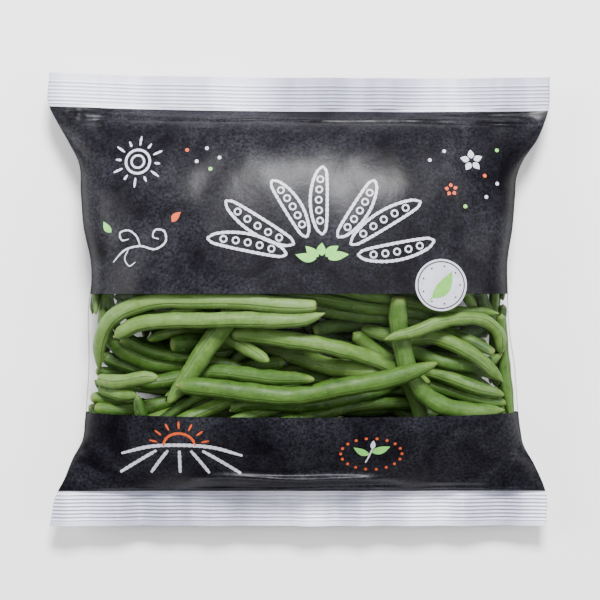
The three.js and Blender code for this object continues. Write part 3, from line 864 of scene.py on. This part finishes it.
def pod_mesh(name, spine, length, girth, shade_and_tone, draw):
    """A pod's skin round its middle line, with the coordinates its colour is drawn in."""
    shares = 0.5 - 0.5 * np.cos(np.linspace(0, math.pi, POD_RINGS))
    places = places_along(spine, shares)
    ahead = np.gradient(places, axis=0)
    ahead /= np.linalg.norm(ahead, axis=1)[:, None]
    across = np.cross([0, 0, 1], ahead)
    across /= np.linalg.norm(across, axis=1)[:, None]
    above = np.cross(ahead, across)
    shape = np.array(draw.choice(STALK_ENDS) + BODY + draw.choice(TAILS))
    seeds = length / SEED_SPACING
    phase = draw.uniform(0, 1)
    swell = 0.018 + 0.040 * draw.random()
    waver = [draw.uniform(0, math.tau) for _ in range(3)]
    body = np.sin(math.pi * shares) ** 0.5
    fullness = FULLNESS + swell * body * np.cos(math.tau * (seeds * shares + phase))
    for (much, rate), start in zip(WAVERS, waver):
        fullness = fullness + much * np.sin(rate * shares + start)
    radius = girth * np.interp(shares, shape[:, 0], shape[:, 1]) * fullness
    turn = draw.uniform(-ROLL, ROLL) + draw.uniform(-TWIST, TWIST) * shares
    seam_turn = draw.uniform(-SEAM_ROLL, SEAM_ROLL) + draw.uniform(-SEAM_ROLL, SEAM_ROLL) * shares
    flatness = draw.uniform(*FLATNESS)
    shift = draw.uniform(0, 9)
    rows, straight = [], []
    for k in range(POD_RINGS):
        angles = np.arange(POD_SIDES) * math.tau / POD_SIDES
        facing = angles + math.pi / 2 + seam_turn[k]
        oval = 1 - (1 - flatness) * np.sin(facing - turn[k]) ** 2
        seam = np.cos(angles)
        groove = SEAM_HEIGHT * np.exp(-((1 - seam) / SEAM_SPREAD))
        reach = radius[k] * oval * (1 + groove)
        u, v = reach * np.cos(facing), reach * np.sin(facing)
        rows.append(places[k] + u[:, None] * across[k] + v[:, None] * above[k])
        along = np.full(POD_SIDES, shift + shares[k] * length)
        straight.append(np.stack([along, girth * np.cos(angles), girth * np.sin(angles)], 1))
    mesh = grid_mesh(name, np.array(rows), wrap=True)
    set_attribute(mesh, "straight", np.concatenate(straight))
    set_attribute(mesh, "share", np.repeat(shares, POD_SIDES))
    # Each point's tone: painted shade for the pod's depth in the heap, plus its own random tone.
    set_attribute(mesh, "shade_and_tone", np.full(POD_RINGS * POD_SIDES, shade_and_tone))
    return closed(mesh)


# Colours that all the pods share: their ends, stalk cuts, seam lines, specks and spots
END_PALE = (0.20, 0.29, 0.06)
STALK_BROWN = (0.16, 0.17, 0.05)
SEAM_DARK = (0.035, 0.075, 0.012)
SPECK_PALE = (0.30, 0.36, 0.14)
SPOT_BROWN = (0.10, 0.075, 0.02)


def pod_skin_group():
    """Green skin from three greens: uneven patches, streaks, a seam line, specks, paler ends."""
    group = bpy.data.node_groups.new("pod_skin", "ShaderNodeTree")
    face = group.interface
    for name in ("Deep", "Middle", "Light"):
        face.new_socket(name, in_out="INPUT", socket_type="NodeSocketColor")
    for name, kind in (("Colour", "Color"), ("Roughness", "Float"), ("Height", "Float")):
        face.new_socket(name, in_out="OUTPUT", socket_type=f"NodeSocket{kind}")
    nodes, links = group.nodes, group.links
    given, result = nodes.new("NodeGroupInput"), nodes.new("NodeGroupOutput")

    def attribute(name, output):
        node = nodes.new("ShaderNodeAttribute")
        node.attribute_name = name
        return node.outputs[output]

    def ranged(source, low, high, to_low=0.0, to_high=1.0):
        return map_range(nodes, links, source, low, high, to_low, to_high, "SMOOTHSTEP")

    def maths(operation, *values):
        node = nodes.new("ShaderNodeMath")
        node.operation = operation
        for slot, value in zip(node.inputs, values):
            if isinstance(value, (int, float)):
                slot.default_value = value
            else:
                links.new(value, slot)
        return node.outputs["Value"]

    def mixed(amount, first, second, blend="MIX"):
        node = nodes.new("ShaderNodeMix")
        node.data_type = "RGBA"
        node.blend_type = blend
        for key, value in (("Factor", amount), ("A", first), ("B", second)):
            slot = [socket for socket in node.inputs
                    if socket.name == key and socket.enabled][0]
            if isinstance(value, (int, float)):
                slot.default_value = value
            elif isinstance(value, tuple):
                slot.default_value = (*value, 1)
            else:
                links.new(value, slot)
        return [socket for socket in node.outputs if socket.enabled][0]

    straight = attribute("straight", "Vector")
    squeeze = nodes.new("ShaderNodeMapping")
    squeeze.inputs["Scale"].default_value = (0.12, 1, 1)
    links.new(straight, squeeze.inputs["Vector"])
    parts = nodes.new("ShaderNodeSeparateXYZ")
    links.new(straight, parts.inputs["Vector"])
    patches = noise_value(nodes, links, straight, 90, 3, 0.6, 0.5)
    streaks = noise_value(nodes, links, squeeze.outputs["Vector"], 900, 3, 0.6)
    # The pod's tone: its own random tone plus painted shade that darkens pods low in the heap.
    shade_and_tone = maths("MULTIPLY", attribute("shade_and_tone", "Fac"), 0.26)
    mottle = noise_value(nodes, links, straight, 430, 3, 0.65)
    broad = maths("MULTIPLY_ADD", streaks, 0.45, maths("MULTIPLY", patches, 0.6))
    level = maths("ADD", maths("MULTIPLY_ADD", mottle, 0.42, broad), shade_and_tone)
    low = mixed(ranged(level, 0.42, 0.72), given.outputs["Deep"], given.outputs["Middle"])
    green = mixed(ranged(level, 0.68, 1.02), low, given.outputs["Light"])
    share = attribute("share", "Fac")
    at_stalk = ranged(share, 0.004, 0.05, 1.0, 0.0)
    at_tip = ranged(share, 0.93, 1.0)
    paled = mixed(maths("MULTIPLY", maths("MAXIMUM", at_stalk, at_tip), 0.35), green, END_PALE)
    stalk = ranged(share, 0.004, 0.014, 1.0, 0.0)
    browned = mixed(maths("MULTIPLY", stalk, 0.55), paled, STALK_BROWN)
    off_seam = maths("ABSOLUTE", parts.outputs["Z"])
    on_front = ranged(parts.outputs["Y"], 0.0005, 0.0012)
    waver = noise_value(nodes, links, straight, 200, 2, 0.5)
    line = maths("MULTIPLY", ranged(off_seam, 0.00012, 0.00042, 1.0, 0.0), on_front)
    rim = maths("MULTIPLY", ranged(off_seam, 0.0005, 0.0013, 1.0, 0.0), on_front)
    rimmed = mixed(maths("MULTIPLY", rim, 0.30), browned, given.outputs["Light"])
    seamed = mixed(maths("MULTIPLY", line, ranged(waver, 0.28, 0.55, 0.25, 0.95)), rimmed,
                   SEAM_DARK)
    pores = nodes.new("ShaderNodeTexVoronoi")
    pores.inputs["Scale"].default_value = 520
    links.new(straight, pores.inputs["Vector"])
    rare = noise_value(nodes, links, straight, 240, 2, 0.5)
    speck = maths("MULTIPLY", ranged(pores.outputs["Distance"], 0.1, 0.24, 1.0, 0.0),
                  ranged(rare, 0.52, 0.66))
    specked = mixed(maths("MULTIPLY", speck, 0.30), seamed, SPECK_PALE)
    blemish = noise_value(nodes, links, straight, 310, 2, 0.4, 0.8)
    spotted = mixed(maths("MULTIPLY", ranged(blemish, 0.71, 0.78), 0.5), specked, SPOT_BROWN)
    links.new(spotted, result.inputs["Colour"])
    wax = noise_value(nodes, links, straight, 130, 3, 0.5)
    links.new(ranged(wax, 0.3, 0.7, 0.46, 0.64), result.inputs["Roughness"])
    fine = noise_value(nodes, links, straight, 1100, 2, 0.6)
    height = maths("ADD", maths("MULTIPLY", streaks, 0.8), maths("MULTIPLY", fine, 0.35))
    links.new(maths("SUBTRACT", height, maths("MULTIPLY", line, 0.6)), result.inputs["Height"])
    return group


pod_skin = pod_skin_group()


def pod_material(name, deep, middle, light):
    material, nodes, links, shader, place = new_material(name)
    skin = nodes.new("ShaderNodeGroup")
    skin.node_tree = pod_skin
    set_inputs(skin, {"Deep": (*deep, 1), "Middle": (*middle, 1), "Light": (*light, 1)})
    links.new(skin.outputs["Colour"], shader.inputs["Base Color"])
    links.new(skin.outputs["Roughness"], shader.inputs["Roughness"])
    set_inputs(shader, {"Specular IOR Level": 0.28, "Subsurface Weight": 0.10,
                        "Subsurface Radius": (0.3, 0.6, 0.15), "Subsurface Scale": 0.0015})
    bump(nodes, links, skin.outputs["Height"], 0.5, 0.00035, shader)
    return material


# The deep, the middle and the light green of each kind of pod
GREENS = {
    "bean_green": ((0.018, 0.050, 0.0040), (0.055, 0.117, 0.014), (0.108, 0.186, 0.046)),
    "bean_leaf": ((0.014, 0.044, 0.0036), (0.045, 0.103, 0.012), (0.094, 0.170, 0.038)),
    "bean_pale": ((0.026, 0.065, 0.0080), (0.072, 0.140, 0.023), (0.118, 0.198, 0.054)),
    "bean_deep": ((0.010, 0.034, 0.0026), (0.036, 0.087, 0.010), (0.080, 0.150, 0.032)),
}
POD_MATERIALS = {name: pod_material(name, *greens) for name, greens in GREENS.items()}
SLOT_CYCLE = list(POD_MATERIALS)
# Painted shade: pods lower in the heap are painted darker and the highest lighter, with a random
# spread of their own tone. The height of the middle tone, the height of one step of tone, the
# spread between neighbours, and the darkest and the lightest tone
SHADE_MIDDLE_HEIGHT = 0.033
SHADE_STEP_HEIGHT = 0.020
TONE_SPREAD = 0.7
DARKEST, LIGHTEST = -1.8, 0.6
BALL_SPACING = 0.0025
LEAST_BALLS = 8
balls = []


def add_pod(name, spine, length, girth, slot, draw):
    """Draws one pod, and notes the room it takes as a chain of balls."""
    # Painted shade: the lower the pod lies in the heap, the darker its tone, plus a random tone of
    # its own.
    shade_and_tone = (spine[:, 2].mean() - SHADE_MIDDLE_HEIGHT) / SHADE_STEP_HEIGHT
    shade_and_tone += draw.uniform(-TONE_SPREAD, TONE_SPREAD)
    mesh = pod_mesh(name, spine, length, girth, min(max(shade_and_tone, DARKEST), LIGHTEST), draw)
    made = add_object(name, mesh, POD_MATERIALS[slot])
    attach(made, "root")
    shares = np.linspace(0, 1, max(int(length / BALL_SPACING), LEAST_BALLS))
    size = girth * np.interp(shares, *PLAIN_SHAPE.T)
    balls.append(np.column_stack([places_along(spine, shares), size]))
    return made


SHOWN = 39
slot_of = {part["node"]: part["material_slot"] for part in frame["record"]["subparts"]}
for node in sorted(name for name in frame["nodes"] if name.startswith("bean_")):
    rings = ring_middles(frame["nodes"][node].data)
    spine, length = smooth_line(rings[:, :3], SPINE_STEPS)
    pod = add_pod(node.replace("bean", "pod"), spine, length, rings[:, 3].max(), slot_of[node],
                  random.Random(node))
    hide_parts(node)


# The beans between
# The bag holds more beans than the ones drawn so far. They lie loose under the beans that show
# and down the sides, each dropped where the ground would show between its neighbours. A few of
# those gaps stay open.
MOST_ADDED = 80
LONGEST = (0.105, 0.060, 0.046)
SHORTEST = 0.036
GIRTHS = (0.0023, 0.0037)
THIN_GIRTHS = (0.0019, 0.0028)
STEEPEST = 0.5
BEND_RADIUS = 0.11
BOWS = (-1, -0.5, 0, 0.5, 1)
THINNEST = 0.3
# How far a pod keeps from others, from the film it rests on, from the film over it and from the
# side of the bag
BEAN_GAP = 0.0003
LEAST_GAP = 0.0001
FILM_GAP = 0.0014
LID_GAP = 0.0012
SIDE_GAP = 0.0004
# The window is looked over in square cells, and each bare one is tried with a number of pods
CELL = 0.0022
WINDOW_HALF = 0.1
CELL_TRIES = 90
# Gaps that stay open, in columns and rows of the picture
OPEN_GAPS = [(136, 335), (147, 395), (447, 299), (462, 303), (487, 298), (470, 346)]
GAP_SPOTS = np.array([(column - PICTURE_MIDDLE, PICTURE_MIDDLE - row)
                      for column, row in OPEN_GAPS]) * PIXEL
GAP_RADIUS = 0.0003
GAP_CELLS = 0.0018
LOW_LEVEL = 0.014
# How near the side of the bag cells and pod ends may be, and where pods often stand upright
CELL_MARGIN = 0.0016
END_MARGIN = 0.0018
SIDE_BAND = 0.009
UPRIGHT_SHARE = 0.75
# How far courses turn from upright and from level, how much they bend, and how near a pod's end
# the spot it covers may be
UPRIGHT_SPREAD = 0.12
LEVEL_SPREAD = 0.6
MOST_BEND = 0.12
UPRIGHT_BEND = 0.4
NEAREST_END = 0.47
COURSE_STEPS = 34
# Points round a pod's middle where it is held off the film: across, along and up, in radii
AROUND = np.array([(out * math.cos(turn), out * math.sin(turn), math.sqrt(1 - out * out))
                   for out in (0, 0.7, 1) for turn in range(6)])


def in_picture(places):
    """Where points lie in the picture, in metres on the plane of the bag's widest line."""
    scale = CAMERA_DISTANCE / (WIDEST_HEIGHT + CAMERA_DISTANCE - places[..., 2:3])
    return places[..., :2] * scale


def straight_over(along, limits, steepest):
    """The lowest straight line that stays over all the limits, at each place along."""
    middle = along[-1] / 2
    left = along <= middle
    run = along[~left][None, :] - along[left][:, None]
    rise = (limits[~left][None, :] - limits[left][:, None]) / run
    at_middle = limits[left][:, None] + rise * (middle - along[left][:, None])
    slope = np.clip(rise.flat[at_middle.argmax()], -steepest, steepest)
    return (limits - slope * along).max() + slope * along


def settled(course, girth, others, up):
    """The pod's middle line, as low (up = 1) or as high (up = -1) as the film and others allow."""
    flat, length = smooth_line(np.array([(x, y, 0) for x, y in course]), COURSE_STEPS)
    shares = np.linspace(0, 1, COURSE_STEPS)
    size = girth * np.maximum(np.interp(shares, *PLAIN_SHAPE.T), THINNEST)
    middle, half = bag_span(flat[:, 1])
    if np.any(np.abs(flat[:, 0] - middle) > half - size - SIDE_GAP) or crosses_gap(flat, size):
        return None
    x = flat[:, 0] + AROUND[:, :1] * size
    y = flat[:, 1] + AROUND[:, 1:2] * size
    film = back_height(x, y) if up > 0 else -front_height(x, y, creased=False)
    limits = (film + FILM_GAP + AROUND[:, 2:] * size).max(axis=0)
    away = np.hypot(flat[:, None, 0] - others[None, :, 0], flat[:, None, 1] - others[None, :, 1])
    reach = size[:, None] + others[None, :, 3] + BEAN_GAP
    touch = up * others[None, :, 2] + np.sqrt(np.maximum(reach ** 2 - away ** 2, 0))
    limits = np.maximum(limits, np.where(away < reach, touch, -1).max(axis=1, initial=-1))
    along = shares * length
    best = None
    for bow in BOWS:
        bend = bow * (along - length / 2) ** 2 / (2 * BEND_RADIUS)
        heights = straight_over(along, limits - bend, STEEPEST) + bend
        if best is None or heights.mean() < best.mean():
            best = heights
    flat[:, 2] = up * best
    return flat, length, size


def crosses_gap(spine, size):
    """Whether the pod would cover one of the gaps that stay open."""
    level = spine[:, 2] if spine[:, 2].any() else np.full(len(spine), LOW_LEVEL)
    seen = in_picture(np.stack([spine[:, 0], spine[:, 1], level], 1))
    away = np.linalg.norm(seen[:, None] - GAP_SPOTS[None], axis=2)
    return bool(np.any(away < size[:, None] + GAP_RADIUS))


def lies_clear(spine, size, others):
    """Whether the pod is clear of the other pods and lies inside the film."""
    away = np.linalg.norm(spine[:, None, :] - others[None, :, :3], axis=2)
    if np.any(away < size[:, None] + others[None, :, 3] + LEAST_GAP):
        return False
    x, y, z = spine.T
    if np.any(z > front_height(x, y, creased=False) - size - LID_GAP):
        return False
    return not np.any(z < back_height(x, y) + size + SIDE_GAP)


def course_through(spot, longest, draw):
    """A random course in plan that passes over a spot of the picture."""
    length = draw.uniform(SHORTEST, longest)
    middle, half = bag_span(spot[1])
    upright = abs(spot[0] - middle) > half - SIDE_BAND and draw.random() < UPRIGHT_SHARE
    girth = draw.uniform(*(THIN_GIRTHS if upright else GIRTHS))
    turn = draw.gauss(math.pi / 2, UPRIGHT_SPREAD) if upright else draw.gauss(0, LEVEL_SPREAD)
    bend = draw.uniform(-MOST_BEND, MOST_BEND) * length * (UPRIGHT_BEND if upright else 1)
    reach = length * math.cos(turn)
    to_right, to_left = np.array([1, -1]) * (middle - spot[0]) + half - END_MARGIN
    low = min(max(0.5 - to_right / reach, -NEAREST_END), NEAREST_END)
    high = max(min(to_left / reach - 0.5, NEAREST_END), -NEAREST_END)
    at = draw.uniform(low, high)
    forward = draw.choice((1, -1))
    course = []
    for share in (-0.5, -0.25, 0, 0.25, 0.5):
        run = (share - at) * length
        side = bend * (4 * at * at - 4 * share * share)
        course.append((spot[0] + run * math.cos(turn) - side * math.sin(turn),
                       spot[1] + run * math.sin(turn) + side * math.cos(turn)))
    return girth, course[::forward]


def near(all_balls, course, margin=0.012):
    """The balls within reach of a course."""
    low, high = np.min(course, axis=0) - margin, np.max(course, axis=0) + margin
    inside = (all_balls[:, 0] > low[0]) & (all_balls[:, 0] < high[0])
    inside &= (all_balls[:, 1] > low[1]) & (all_balls[:, 1] < high[1])
    return all_balls[inside]


def covered(chain):
    """Which cells of the window lie under a pod."""
    away = np.linalg.norm(cells[:, None] - in_picture(chain)[None], axis=2)
    return np.any(away < chain[None, :, 3], axis=1)


draw = random.Random(57)
over = np.concatenate(balls[:SHOWN])
under = np.concatenate(balls[SHOWN:])
cells = np.array([(x, y) for x in np.arange(-WINDOW_HALF, WINDOW_HALF, CELL)
                  for y in np.arange(WINDOW_FOOT, WINDOW_TOP, CELL)])
middle, half = bag_span(cells[:, 1])
cells = cells[np.abs(cells[:, 0] - middle) < half - CELL_MARGIN]
left_open = np.zeros(len(cells), bool)
for gap in GAP_SPOTS:
    left_open |= np.linalg.norm(cells - gap, axis=1) < GAP_CELLS
for chain in balls:
    left_open |= covered(chain)
added = 0
while added < MOST_ADDED and not left_open.all():
    choice = draw.choice(np.flatnonzero(~left_open).tolist())
    left_open[choice] = True
    for attempt in range(CELL_TRIES):
        longest = LONGEST[attempt * len(LONGEST) // CELL_TRIES]
        girth, course = course_through(cells[choice], longest, draw)
        up = 1 if attempt % 2 else -1
        first, second = (under, over) if up > 0 else (over, under)
        laid = settled(course, girth, near(first, course), up)
        if laid is None:
            continue
        spine, length, size = laid
        if not lies_clear(spine, size, near(second, course)) or crosses_gap(spine, size):
            continue
        added += 1
        slot = SLOT_CYCLE[added % len(SLOT_CYCLE)]
        add_pod(f"pod_between_{added:02d}", spine, length, girth, slot, draw)
        if up > 0:
            under = np.concatenate([under, balls[-1]])
        else:
            over = np.concatenate([over, balls[-1]])
        left_open |= covered(balls[-1])
        break


# The surface and the light
# A plain pale floor and soft studio lamps, the strongest beyond the head of the bag.
FLOOR_HALF = 3

floor_mesh = bpy.data.meshes.new("floor")
corners = [(x * FLOOR_HALF, y * FLOOR_HALF, 0) for x, y in ((-1, -1), (1, -1), (1, 1), (-1, 1))]
floor_mesh.from_pydata(corners, [], [(0, 1, 2, 3)])
floor_material, nodes, links, shader, place = new_material("floor")
set_inputs(shader, {"Base Color": (0.95, 0.95, 0.955, 1), "Roughness": 0.7})
floor = add_object("floor", floor_mesh, floor_material)

world = bpy.data.worlds.new("world")
bpy.context.scene.world = world
world.use_nodes = True
set_inputs(world.node_tree.nodes["Background"], {"Color": (1, 1, 1, 1), "Strength": 0.25})


def lamp(name, place, aim, size, power):
    data = bpy.data.lights.new(name, "AREA")
    data.shape = "RECTANGLE"
    data.size, data.size_y = size
    data.energy = power
    made = bpy.data.objects.new(name, data)
    made.location = place
    direction = Vector(aim) - Vector(place)
    made.rotation_euler = direction.to_track_quat("-Z", "Y").to_euler()
    bpy.context.scene.collection.objects.link(made)


lamp("key", (0.10, 0.95, 1.12), (0, 0, 0), (0.4, 0.36), 60)
lamp("over", (0.30, 0.10, 1.7), (0.02, 0, 0), (1.0, 1.0), 9)
lamp("left", (-1.35, 0.3, 0.9), (0, 0, 0), (0.8, 0.8), 22)
lamp("right", (1.4, -0.2, 1.1), (0, 0, 0), (0.8, 0.8), 15)
